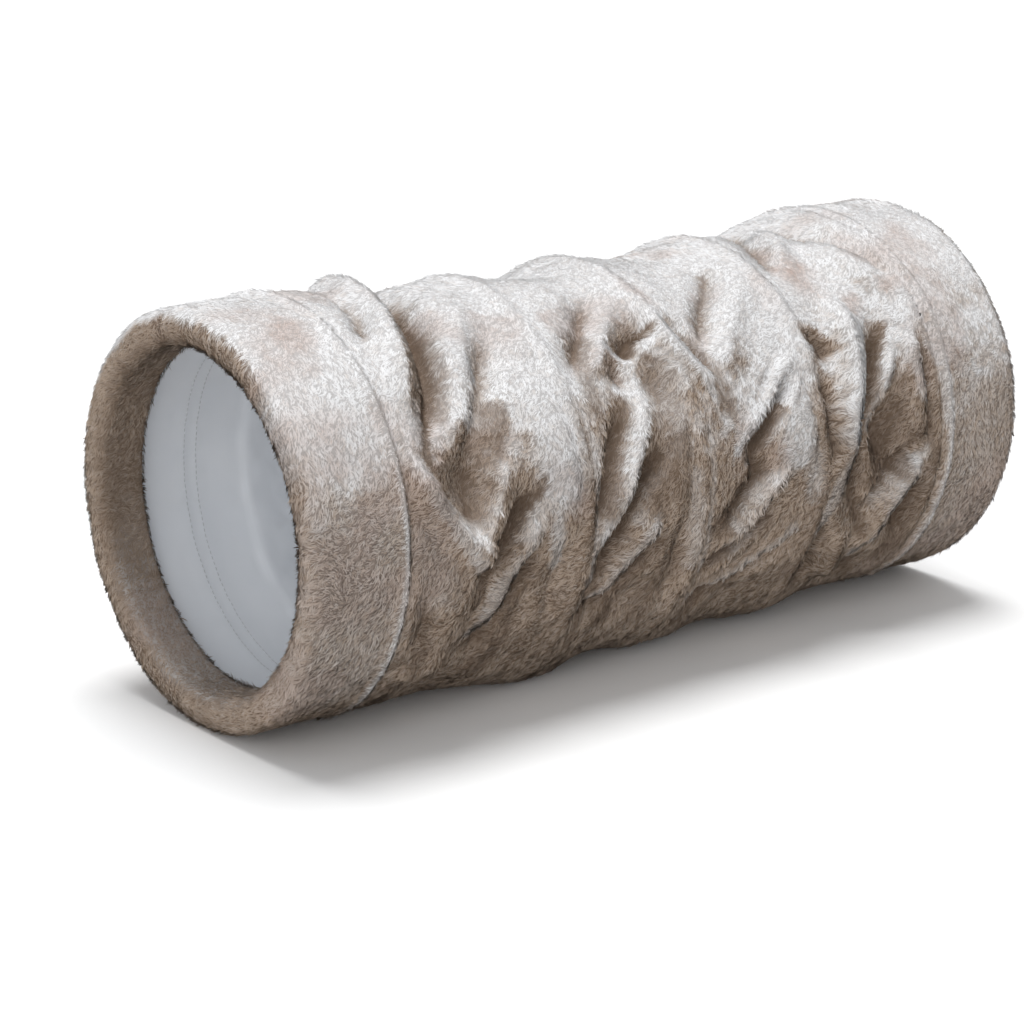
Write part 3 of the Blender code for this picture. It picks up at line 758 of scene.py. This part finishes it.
def sleeve_grid():
    """The slack plush between the cuffs."""
    along = np.arange(HOOPS[0] - 0.5 * MM, HOOPS[4] + 0.5 * MM + SKIN_STEP / 2, SKIN_STEP)
    s, t = np.meshgrid(along, angle_row(), indexing="ij")
    folds, drag_s, drag_t = fold_heights(s, t)
    edge = smooth((s - HOOPS[0]) / (9 * MM)) * smooth((HOOPS[4] - s) / (9 * MM))
    near_hoop = np.ones_like(s)
    for hoop in HOOPS[1:4]:
        near_hoop = np.minimum(near_hoop, 0.45 + 0.55 * smooth(np.abs(s - hoop) / (11 * MM)))
    folds = np.where(folds < 0, folds * near_hoop, folds * (0.6 + 0.4 * near_hoop)) * edge
    crest = np.zeros_like(s)
    for k, hoop in enumerate(HOOPS[1:4]):
        wander = 1.5 * MM * noise(80 + k, s * 0, t * BAY_RADIUS, 60 * MM)
        crest += 2.2 * MM * np.exp(-(((s - hoop - wander) / (4.5 * MM)) ** 2))
    fine = crinkle(11, s, t, 0.8 * MM, 16 * MM) + crinkle(12, s, t, 0.35 * MM, 6 * MM)
    radius = outer_radius(s) - PILE - bay_slack(s, t) + folds + crest + fine * edge
    tuck = np.exp(-((s - HOOPS[0]) / (2.6 * MM)) ** 2) + np.exp(-((HOOPS[4] - s) / (2.6 * MM)) ** 2)
    radius = radius - seam_depth(t) * tuck
    deepest = outer_radius(s) - (8.0 + 17 * smooth((gap_to_hoop(s) - 3.5 * MM) / (13 * MM))) * MM
    radius = np.maximum(radius, deepest)
    near = np.clip(edge, 0, 1)
    points = place(s + drag_s * near, radius, t + drag_t * near / BAY_RADIUS)
    return s, t, points


def cuff_grid(rear):
    """A cuff's plush from its seam over the lip and back into the mouth. along is measured from the mouth."""
    outside, inside = CUFF_RADIUS - PILE, MOUTH_RADIUS + PILE
    lip = (outside - inside) / 2
    lip_centre = LIP_REACH - 1.0 * MM
    profile = [(a, outside) for a in np.arange(CUFF_WIDTH + 0.8 * MM, lip_centre, -SKIN_STEP)]
    for k in range(1, 16):
        turn = math.pi * k / 16
        across = math.copysign(abs(math.cos(turn)) ** 0.8, math.cos(turn))
        profile.append((lip_centre - LIP_REACH * math.sin(turn) ** 0.8, (outside + inside) / 2 + lip * across))
    profile += [(a, inside) for a in np.arange(lip_centre, HEM_DEPTH, SKIN_STEP)]
    for k in range(1, 5):
        turn = math.pi * k / 8
        profile.append((HEM_DEPTH + 1.6 * MM * math.sin(turn), inside + 3.2 * MM * (1 - math.cos(turn))))
    profile = np.array(profile)
    t = np.broadcast_to(angle_row()[None, :], (len(profile), AROUND_STEPS))
    a = np.broadcast_to(profile[:, :1], t.shape)
    r = np.broadcast_to(profile[:, 1:], t.shape).copy()
    seed = 60 if rear else 50
    is_out = smooth((r - (outside + inside) / 2) / lip)
    r = r + is_out * (crinkle(seed, a, t, 1.1 * MM, 55 * MM) + crinkle(seed + 1, a, t, 0.4 * MM, 14 * MM))
    r = r + (1 - is_out) * crinkle(seed + 3, a, t, 0.7 * MM, 30 * MM)
    ridge = np.exp(-(((a - SEAM_LINE) / SEAM_LINE_WIDTH) ** 2)) * 2.2 * MM
    tuck = seam_depth(t) * np.exp(-(((CUFF_WIDTH - a) / (2.2 * MM)) ** 2))
    r = r + is_out * (ridge - tuck)
    lip_wave = (1 - np.abs(2 * is_out - 1)) * crinkle(seed + 5, a * 0, t, 0.9 * MM, 30 * MM)
    s = a + lip_wave
    along = LENGTH - s if rear else s
    return along, t, place(along, r, t)


def outward_normals(along, angle, points):
    """Unit normals of a grid that is closed round the tunnel, turned to point outwards at its first rows."""
    du = np.gradient(points, axis=0)
    dv = np.roll(points, -1, 1) - np.roll(points, 1, 1)
    n = np.cross(du, dv)
    n = n / np.linalg.norm(n, axis=-1, keepdims=True).clip(1e-12)
    first = points[:5] - place(along[:5], 0 * along[:5], angle[:5])
    return -n if (first * n[:5]).sum(-1).mean() < 0 else n


def rest_on_floor(points, lowest):
    points[..., 2] = np.maximum(points[..., 2], lowest)
    return points


def lay_plush(name, along, angle, points, material, folded):
    """The ground cloth of a piece of plush, and the grids that its pile grows from."""
    points = rest_on_floor(points, PLUSH_FLOOR_GAP)
    piece = grid_object(name, points, material)
    normals = outward_normals(along, angle, points)
    # The folded sleeve gets painted shade in its creases; the cuffs get none.
    tone = tone_with_painted_light(along, angle, normals, hollowness(points, along) if folded else 0 * along)
    for kind, grid in zip(("pale", "brown", "shade"), tone):
        add_attribute(piece, "pile_" + kind, grid)
    return piece, (along, angle, points, normals, tone)


# ---------------------------------------------------------------- the pile, as blades
def side_of(angle):
    """0 on the side towards -Y, 1 underneath and 2 on the side towards +Y."""
    return np.floor((angle % (2 * math.pi)) / (2 * math.pi / 3)).astype(int)


def unit(vectors):
    return vectors / np.linalg.norm(vectors, axis=1, keepdims=True).clip(1e-9)


def flattened(vectors, normal):
    """Vectors without their part along the normal."""
    return vectors - normal * (vectors * normal).sum(1, keepdims=True)


def nap_way(s, t, normal):
    """Where the nap leads: mostly down the sides and a little towards the front, turned in soft patches."""
    n, y = len(s), t * BAY_RADIUS
    round_way = np.stack([np.zeros(n), -np.cos(t), -np.sin(t)], 1)
    down = np.sign(np.sin(t)) * smooth(np.abs(np.sin(t)) * 3)
    long_way = np.tile((-1.0, 0.0, 0.0), (n, 1))
    turned = 0.9 * cloudy(100, s, y, 45 * MM, 2) + 0.7 * cloudy(101, s, y, 14 * MM, 2)
    nap = long_way * np.cos(turned)[:, None] * 0.8 + round_way * (0.75 * down + np.sin(turned))[:, None]
    return unit(flattened(nap, normal))


def tufts(s, t, normal):
    """The tuft that each blade leans to: its four random values, and the way to its middle."""
    y = t * BAY_RADIUS
    cu, cv = np.floor(s / TUFT_SIZE).astype(int), np.floor(y / TUFT_SIZE).astype(int)
    around_cells = int(AROUND / TUFT_SIZE)
    table = np.random.default_rng(900).uniform(-1, 1, (int(1.2 * LENGTH / TUFT_SIZE) + 4, around_cells, 4))
    best = np.full(len(s), 1e9)
    chosen = np.zeros((len(s), 4))
    offset_u, offset_v = np.zeros(len(s)), np.zeros(len(s))
    for a in (-1, 0, 1):
        for b in (-1, 0, 1):
            ku, kv = np.clip(cu + a + 1, 0, table.shape[0] - 1), (cv + b) % around_cells
            jitter = table[ku, kv]
            du = (cu + a + 0.5 + 0.45 * jitter[:, 0]) * TUFT_SIZE - s
            dv = (cv + b + 0.5 + 0.45 * jitter[:, 1]) * TUFT_SIZE - y
            gap = du * du + dv * dv
            closer = gap < best
            best = np.where(closer, gap, best)
            chosen[closer] = jitter[closer]
            offset_u, offset_v = np.where(closer, du, offset_u), np.where(closer, dv, offset_v)
    to_centre = np.stack([offset_u, -offset_v * np.cos(t), -offset_v * np.sin(t)], 1)
    return chosen, flattened(to_centre, normal)


def map_blades(piece, row, t, rng):
    """Patches of about a centimetre of cloth, in which each blade is a narrow column."""
    first, last = math.floor(row.min()), math.floor(row.max())
    turn = (t - t.min()) / (t.max() - t.min())
    across_cells = max(1, round((last - first) * SKIN_STEP / (9 * MM)))
    round_cells = max(1, round((t.max() - t.min()) * BAY_RADIUS / (9 * MM)))
    share = (row - first) / (last + 1 - first)
    left = (np.floor(share.clip(0, 0.9999) * across_cells) + 0.9 * rng.random(len(t))) / across_cells
    low = np.floor(turn.clip(0, 0.9999) * round_cells)
    u_of = np.stack([left, left + 0.08 / across_cells, left + 0.04 / across_cells], 1)[:, [1, 0, 0, 1, 1, 0, 2]]
    v_of = (low[:, None] + np.array([[0.05, 0.05, 0.55, 0.55, 0.55, 0.55, 0.95]])) / round_cells
    under = [1, 0, 3, 2, 5, 4, 6]
    set_map(piece, np.stack([np.hstack([u_of, u_of[:, under]]), np.hstack([v_of, v_of[:, under]])], -1))


def grow_pile(name, grids, material, spacing, width, seed, side, low_s=-math.inf, high_s=math.inf):
    """Blades on the part of a grid that lies on one side of the tunnel and between two places along it."""
    along, angle, points, normals, tone = grids
    rng = np.random.default_rng(seed)
    rows, columns = along.shape
    p00, p10 = points[:-1], points[1:]
    p01, p11 = np.roll(points, -1, 1)[:-1], np.roll(points, -1, 1)[1:]
    area = 0.5 * np.linalg.norm(np.cross(p11 - p00, p10 - p01), axis=-1)
    middle_s = 0.5 * (along[:-1] + along[1:])
    here = (middle_s >= low_s) & (middle_s < high_s) & (side_of(angle[:-1]) == side)
    expected = np.where(here, area, 0.0) / spacing**2
    count = np.floor(expected + rng.random(expected.shape)).astype(int)
    cell = np.repeat(np.arange(count.size), count.ravel())
    i, j = cell // columns, cell % columns
    k = (j + 1) % columns
    n = len(cell)
    u, v = rng.random(n), rng.random(n)

    def blended(grid):
        low = grid[i, j] * (1 - v)[:, None] + grid[i, k] * v[:, None]
        high = grid[i + 1, j] * (1 - v)[:, None] + grid[i + 1, k] * v[:, None]
        return low * (1 - u)[:, None] + high * u[:, None]

    root = blended(points)
    normal = unit(blended(normals))
    s = along[i, j] * (1 - u) + along[i + 1, j] * u
    t = angle[i, j] + v * 2 * math.pi / columns
    nap = nap_way(s, t, normal)
    side_way = np.cross(normal, nap)
    chosen, to_centre = tufts(s, t, normal)
    on_line = seam_line_share(s, t)

    # Each blade rises a little, bends over and leans to its tuft.
    length = rng.uniform(*BLADE_LENGTHS_MM, n) * MM * (1 + 0.15 * chosen[:, 2]) * (1 - 0.6 * on_line)
    low_lean = np.radians(rng.normal(LOW_LEAN, 6, n))
    lean = np.radians(rng.normal(TIP_LEAN, 4, n) + 3 * chosen[:, 3]).clip(*map(math.radians, TIP_LEAN_LIMITS))
    lean = np.where(rng.random(n) < 0.04, lean * 0.7, lean)
    swing = rng.normal(0, 0.30, n) + 0.6 * chosen[:, 3]
    way = nap * np.cos(swing)[:, None] + side_way * np.sin(swing)[:, None]
    middle = root + length[:, None] * 0.35 * (np.cos(low_lean)[:, None] * normal + np.sin(low_lean)[:, None] * way)
    tip = middle + length[:, None] * 0.65 * (np.cos(lean)[:, None] * normal + np.sin(lean)[:, None] * way)
    middle = middle + 0.20 * to_centre
    tip = tip + 0.55 * to_centre
    root = root - 0.4 * MM * normal
    across = np.cross(normal, way)
    twist = rng.normal(0, 0.3, n)
    across = across * np.cos(twist)[:, None] + normal * np.sin(twist)[:, None]
    half_width = width * rng.uniform(0.7, 1.15, n)[:, None] / 2

    # The under face lies a hair below the upper one and is shaded like the cloth too.
    ends = []
    for half, below in ((half_width, 0.0), (half_width * 0.85, 0.04 * MM)):
        foot, bend = across * half * 0.8, across * half
        ends += [end - below * normal for end in (root - foot, root + foot, middle + bend, middle - bend, tip)]
    vertices = rest_on_floor(np.stack(ends, 1), BLADE_FLOOR_GAP)
    corners = (np.arange(n) * 10)[:, None] + np.array([[1, 0, 3, 2, 2, 3, 4, 5, 6, 7, 8, 8, 7, 9]])
    starts = (np.arange(n) * 14)[:, None] + np.array([[0, 4, 7, 11]])
    piece = mesh_object(name, vertices, corners, starts, material)
    blade = unit(np.cross(tip - root, across))
    blade *= np.sign((blade * normal).sum(1, keepdims=True)) + 1e-6
    shading = unit(0.76 * normal + 0.24 * blade)
    piece.data.normals_split_custom_set_from_vertices(np.repeat(shading, 10, 0))
    map_blades(piece, i + u, t, rng)
    piece.visible_shadow = False  # hair passes light on; the cloth under it casts the shadows
    piece.shadow_terminator_geometry_offset = 0  # else rays from a blade's under face start below the cloth

    # Its tone: the cloth's tone grids with their painted sheen and shade, read at the root, with each tuft and each
    # blade a little apart.
    add_attribute(piece, "pile_along", np.tile((0.0, 0.0, 0.55, 0.55, 1.0) * 2, (n, 1)))
    pale, brown, shade = (blended(grid[..., None])[:, 0] for grid in tone)
    # The seam line is painted pale as a highlight.
    pale = np.maximum(pale + 0.22 * chosen[:, 1] * np.sqrt(pale.clip(0.12, 1)), 0.9 * on_line)
    # Painted shade inside the mouth: the turned-in plush is darkened and loses its painted sheen.
    inside = smooth(-(normal * (root - place(s, 0 * s, t))).sum(1) / CUFF_RADIUS / 0.5)
    pale *= 1 - 0.8 * inside
    mottle = (0.20 * rng.random(n) - 0.14 * chosen[:, 2]) * (1 - 0.7 * pale.clip(0, 1))
    shade = shade + 0.01 + mottle + 0.3 * inside - 0.1 * on_line
    pale = (pale + 0.08 * rng.normal(0, 1, n)).clip(0, 1)
    brown = (brown + 0.05 * rng.normal(0, 1, n)).clip(0, 1)
    for kind, values in (("pale", pale), ("brown", brown), ("shade", shade.clip(0, 0.85))):
        add_attribute(piece, "pile_" + kind, np.repeat(values, 10))
    return piece


# ---------------------------------------------------------------- the inner layers
def lowest_near(grid, rows, columns):
    """The least value of a grid within some rows and columns of each place."""
    least = grid.copy()
    for k in range(1, rows + 1):
        least[k:] = np.minimum(least[k:], grid[:-k])
        least[:-k] = np.minimum(least[:-k], grid[k:])
    across = least.copy()
    for k in range(1, columns + 1):
        across = np.minimum(across, np.minimum(np.roll(least, k, 1), np.roll(least, -k, 1)))
    return across


def softened(grid, times):
    """A grid with each value drawn towards its neighbours, some times over."""
    for _ in range(times):
        inner = np.pad(grid, ((1, 1), (0, 0)), mode="edge")
        grid = (inner[:-2] + inner[2:] + np.roll(grid, 1, 1) + np.roll(grid, -1, 1) + 2 * grid) / 6
    return grid


def under_plush(along, angle_count, sleeve_s, sleeve_radius):
    """The plush ground's radius, its least nearby, read at other rows."""
    least = softened(lowest_near(sleeve_radius, 3, 3), 2)
    step = AROUND_STEPS / angle_count
    columns = (np.arange(angle_count) * step).astype(int)
    rows = np.array([np.interp(along, sleeve_s, least[:, c]) for c in columns]).T
    outside = (along < sleeve_s[0]) | (along > sleeve_s[-1])
    rows[outside] = CUFF_RADIUS
    return rows


def stitch_row(s, r, t, length, thickness):
    """Spindle-shaped stitches round the tunnel at distances, radii and angles."""
    count, sides = len(t), 5
    rings = ((-0.5, 0.25), (-0.3, 0.85), (0.0, 1.0), (0.3, 0.85), (0.5, 0.25))
    centre = place(s, r, t)
    around = np.stack([np.zeros(count), -np.cos(t), -np.sin(t)], 1)
    outward = np.stack([np.zeros(count), -np.sin(t), np.cos(t)], 1)
    along = np.tile((1.0, 0, 0), (count, 1))
    points = []
    for shift, share in rings:
        for k in range(sides):
            turn = 2 * math.pi * k / sides
            points.append(
                centre + around * shift * length
                + (along * math.cos(turn) + outward * math.sin(turn)) * thickness / 2 * share
                - outward * (0.5 - abs(shift)) * thickness * 0.4
            )
    points = np.stack(points, 1)
    faces = []
    for ring in range(len(rings) - 1):
        for k in range(sides):
            n = (k + 1) % sides
            faces.append((ring * sides + k, ring * sides + n, (ring + 1) * sides + n, (ring + 1) * sides + k))
    faces = np.array(faces)
    every = (np.arange(count) * points.shape[1])[:, None, None] + faces[None]
    return points.reshape(-1, 3), every.reshape(-1, 4)


# ================================================================ the scene
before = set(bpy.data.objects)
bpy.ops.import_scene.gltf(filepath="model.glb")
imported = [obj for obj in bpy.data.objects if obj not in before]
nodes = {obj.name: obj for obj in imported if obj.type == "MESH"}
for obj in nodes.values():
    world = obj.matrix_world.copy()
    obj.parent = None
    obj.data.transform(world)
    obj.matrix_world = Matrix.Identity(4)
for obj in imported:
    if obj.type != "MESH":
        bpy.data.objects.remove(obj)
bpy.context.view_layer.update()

pile_look = pile_material()
ground_look = ground_material()
lining_look = lining_material()
film_look = mottled_material("film", (0.62, 0.63, 0.64), (0.74, 0.75, 0.76), 0.3, 60.0)
tape_look = mottled_material("tape", (0.40, 0.37, 0.34), (0.50, 0.47, 0.44), 0.85, 900.0, sheen=0.2)
steel_look = mottled_material("spring_wire", (0.42, 0.42, 0.43), (0.52, 0.52, 0.53), 0.32, 300.0, metallic=1.0)
crimp_look = mottled_material("crimp", (0.56, 0.56, 0.57), (0.66, 0.66, 0.67), 0.38, 400.0, metallic=1.0)
thread_look = mottled_material("thread", (0.52, 0.54, 0.56), (0.66, 0.68, 0.70), 0.6, 2500.0, sheen=0.3)


def squashed(piece, cuff=None):
    """Gives the piece a mesh of its own, a cuff as well as the sleeve."""
    if cuff is None:
        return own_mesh(piece)
    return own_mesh(piece)


# The plush.
sleeve, sleeve_grids = lay_plush("sleeve_plush", *sleeve_grid(), ground_look, folded=True)
cuffs = {
    name: lay_plush(name + "_cuff_plush", *cuff_grid(name == "rear"), ground_look, folded=False)
    for name in ("front", "rear")
}

# The pile on it.
spacing = BLADE_SPACING * 1.0
blade_width = BLADE_WIDTH * 1.0
piles = {"front": [], "rear": [], "sleeve": []}
seed = 0
for name, (cuff, grids) in cuffs.items():
    for n, side in enumerate(SIDES):
        seed += 1
        piles[name].append(
            grow_pile(f"{name}_cuff_pile_{side}", grids, pile_look, spacing, blade_width, seed, n)
        )
edges = np.concatenate([[0], HOOPS[1:4], [LENGTH]])
for bay in range(4):
    for n, side in enumerate(SIDES):
        seed += 1
        piles["sleeve"].append(
            grow_pile(
                f"bay_{bay + 1}_pile_{side}", sleeve_grids, pile_look, spacing, blade_width, seed, n,
                edges[bay], edges[bay + 1],
            )
        )

# Film and lining.
rows = np.arange(14.6 * MM, LENGTH - 14.5 * MM, 2.2 * MM)
s, t = np.meshgrid(rows, angle_row(INNER_COLUMNS), indexing="ij")
sleeve_s, _, sleeve_points = sleeve_grids[:3]
plush_least = under_plush(rows, INNER_COLUMNS, sleeve_s[:, 0], radius_of(sleeve_points, sleeve_s))
film_dip = np.where(between_hoops(s) > 0, smooth((gap_to_hoop(s) - 20 * MM) / (22 * MM)), 0.0)
film_wish = outer_radius(s) - (FILM_DEPTH + FILM_DIP * film_dip) * MM + crinkle(31, s, t, 0.8 * MM, 12 * MM) * film_dip
film_radius = np.minimum(film_wish, plush_least - 1.0 * MM)
film = grid_object("crinkle_film_sheet", place(s, film_radius, t), film_look)
film_least = softened(lowest_near(film_radius, 1, 1), 1)
pucker = np.zeros_like(s)
for hoop in HOOPS:
    close = np.exp(-((np.abs(s - hoop) - 5 * MM) / (6 * MM)) ** 2)
    pucker += close * (0.45 + 0.45 * noise(37, s * 0, t * BAY_RADIUS, 7 * MM)) * 0.9 * MM
soft_folds = (1.6 + 1.6 * cloudy(33, s + 0.35 * t * BAY_RADIUS, t * BAY_RADIUS, 42 * MM, 3)) * MM * between_hoops(s)
lining_wish = outer_radius(s) - (LINING_DEPTH + LINING_DIP * between_hoops(s)) * MM - soft_folds - pucker
lining_radius = np.minimum(lining_wish, film_least - 1.0 * MM)
lining = grid_object("lining_sheet", rest_on_floor(place(s, lining_radius, t), LINING_FLOOR_GAP), lining_look)

# Thread: two rows of stitches hold each casing to the lining.
stitch_points, stitch_faces, so_far = [], [], 0
stitch_angles = angle_row(STITCHES)
for hoop in HOOPS:
    for side in (-1, 1):
        row = hoop + side * STITCH_OFF
        i = np.interp(row, rows, np.arange(len(rows)))
        low, high = lining_radius[int(i)], lining_radius[min(int(i) + 1, len(rows) - 1)]
        values = low * (1 - i % 1) + high * (i % 1)
        radii = np.interp(stitch_angles, angle_row(INNER_COLUMNS), values, period=2 * math.pi) - 0.15 * MM
        places = row + 0.25 * MM * noise(90, stitch_angles * 0, stitch_angles * BAY_RADIUS, 20 * MM)
        p, f = stitch_row(places, radii, stitch_angles, STITCH_LENGTH, THREAD)
        stitch_points.append(p)
        stitch_faces.append(f + so_far)
        so_far += len(p)
stitches = quad_object("lining_stitches", np.concatenate(stitch_points), np.concatenate(stitch_faces), thread_look)

# Tape casings round the five inner hoops, folded towards the lining. Their section is in mm, along
# the tunnel and outwards.
section = [(-2.75, 2.6), (-2.75, 1.2)]
section += [(-2.75 * math.cos(math.radians(a)), -2.55 * math.sin(math.radians(a))) for a in range(0, 181, 15)]
section += [(2.75, 1.2), (2.75, 2.6)]
section = np.array(section) * MM
casings = []
for name, hoop in zip(HOOP_NAMES, HOOPS):
    radius = float(outer_radius(hoop)) - CASING_DEPTH * MM
    t = np.broadcast_to(angle_row(CASING_COLUMNS)[None], (len(section), CASING_COLUMNS))
    s = np.broadcast_to(hoop + section[:, :1], t.shape)
    casing = grid_object("casing_tape_" + name, place(s, radius + section[:, 1:], t), tape_look)
    casings.append((name, casing, radius))

for node_name, node in nodes.items():
    if node_name.startswith(("hoop_", "ferrule_")):
        look = steel_look if node_name.startswith("hoop_") else crimp_look
        node.data.materials.clear()
        node.data.materials.append(look)


# What each piece rides on.
for name in ("front", "rear"):
    body = name + "_mouth"
    cuff = cuffs[name][0]
    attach(cuff, body)
    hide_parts(name + "_cuff")
    for pile in piles[name]:
        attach(pile, body)
    for piece in [cuff, *piles[name]]:
        squashed(piece, name)
for piece in [sleeve, *piles["sleeve"], film, lining, stitches]:
    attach(piece, "front_mouth")
    squashed(piece)
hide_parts("plush_sleeve")
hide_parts("crinkle_film")
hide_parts("lining_sleeve")
for name, casing, radius in casings:
    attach(casing, name)
    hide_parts("casing_" + name)

# ---------------------------------------------------------------- floor, light and camera
FLOOR_SIZE = 60
FLOOR_SEEN, FLOOR_LIT = (1.0, 1.0, 1.0), (0.62, 0.60, 0.58)  # to the eye, and in the light that it throws back
SKY_COLOUR, SKY_STRENGTH = (0.97, 0.985, 1.0), 0.43
FOCAL_PIXELS, PICTURE_PIXELS, SENSOR = 3000, 1024, 36
CAMERA_DOWN, CAMERA_TURN = 16.48, -38.26

floor_look, tree, shader = plain_material("floor", FLOOR_SEEN, 0.9, specular=0.0)
path = tree.nodes.new("ShaderNodeLightPath")
seen = path.outputs["Is Camera Ray"]
for kind in ("Is Glossy Ray", "Is Transmission Ray"):
    either = tree.nodes.new("ShaderNodeMath")
    either.operation = "MAXIMUM"
    tree.links.new(seen, either.inputs[0])
    tree.links.new(path.outputs[kind], either.inputs[1])
    seen = either.outputs[0]
tree.links.new(mixed_colour(tree, seen, FLOOR_LIT, FLOOR_SEEN), shader.inputs["Base Color"])
bpy.ops.mesh.primitive_plane_add(size=FLOOR_SIZE, location=(0, 0, 0))
floor = bpy.context.object
floor.name = "floor"
floor.data.materials.append(floor_look)
floor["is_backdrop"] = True

world = bpy.data.worlds.new("studio")
bpy.context.scene.world = world
world.use_nodes = True
world_tree = world.node_tree
background = world_tree.nodes["Background"]
background.inputs["Color"].default_value = (*SKY_COLOUR, 1)
background.inputs["Strength"].default_value = SKY_STRENGTH
white = world_tree.nodes.new("ShaderNodeBackground")
white.inputs["Color"].default_value = (1, 1, 1, 1)
white.inputs["Strength"].default_value = 1.0
world_path = world_tree.nodes.new("ShaderNodeLightPath")
choose = world_tree.nodes.new("ShaderNodeMixShader")
world_tree.links.new(world_path.outputs["Is Camera Ray"], choose.inputs[0])
world_tree.links.new(background.outputs[0], choose.inputs[1])
world_tree.links.new(white.outputs[0], choose.inputs[2])
world_tree.links.new(choose.outputs[0], world_tree.nodes["World Output"].inputs["Surface"])


def sun(name, strength, elevation, azimuth, spread):
    """A far light; its height, direction and width are in degrees."""
    lamp = bpy.data.lights.new(name, "SUN")
    lamp.energy = strength
    lamp.angle = math.radians(spread)
    made = bpy.data.objects.new(name, lamp)
    made.rotation_euler = (math.radians(90 - elevation), 0, math.radians(azimuth))
    bpy.context.scene.collection.objects.link(made)


sun("overhead", strength=2.28, elevation=80, azimuth=150, spread=32)
sun("room", strength=0.88, elevation=17, azimuth=-52, spread=50)

camera_data = bpy.data.cameras.new("camera")
camera_data.lens = FOCAL_PIXELS / PICTURE_PIXELS * SENSOR
camera_data.sensor_width = SENSOR
camera_data.clip_start, camera_data.clip_end = 0.05, 100
camera = bpy.data.objects.new("camera", camera_data)
camera.location = (-1.1466, -1.398, 0.6163)
camera.rotation_euler = (math.radians(90 - CAMERA_DOWN), 0, math.radians(CAMERA_TURN))
bpy.context.scene.collection.objects.link(camera)
bpy.context.scene.camera = camera
bpy.context.scene.view_settings.view_transform = "Standard"

low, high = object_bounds()
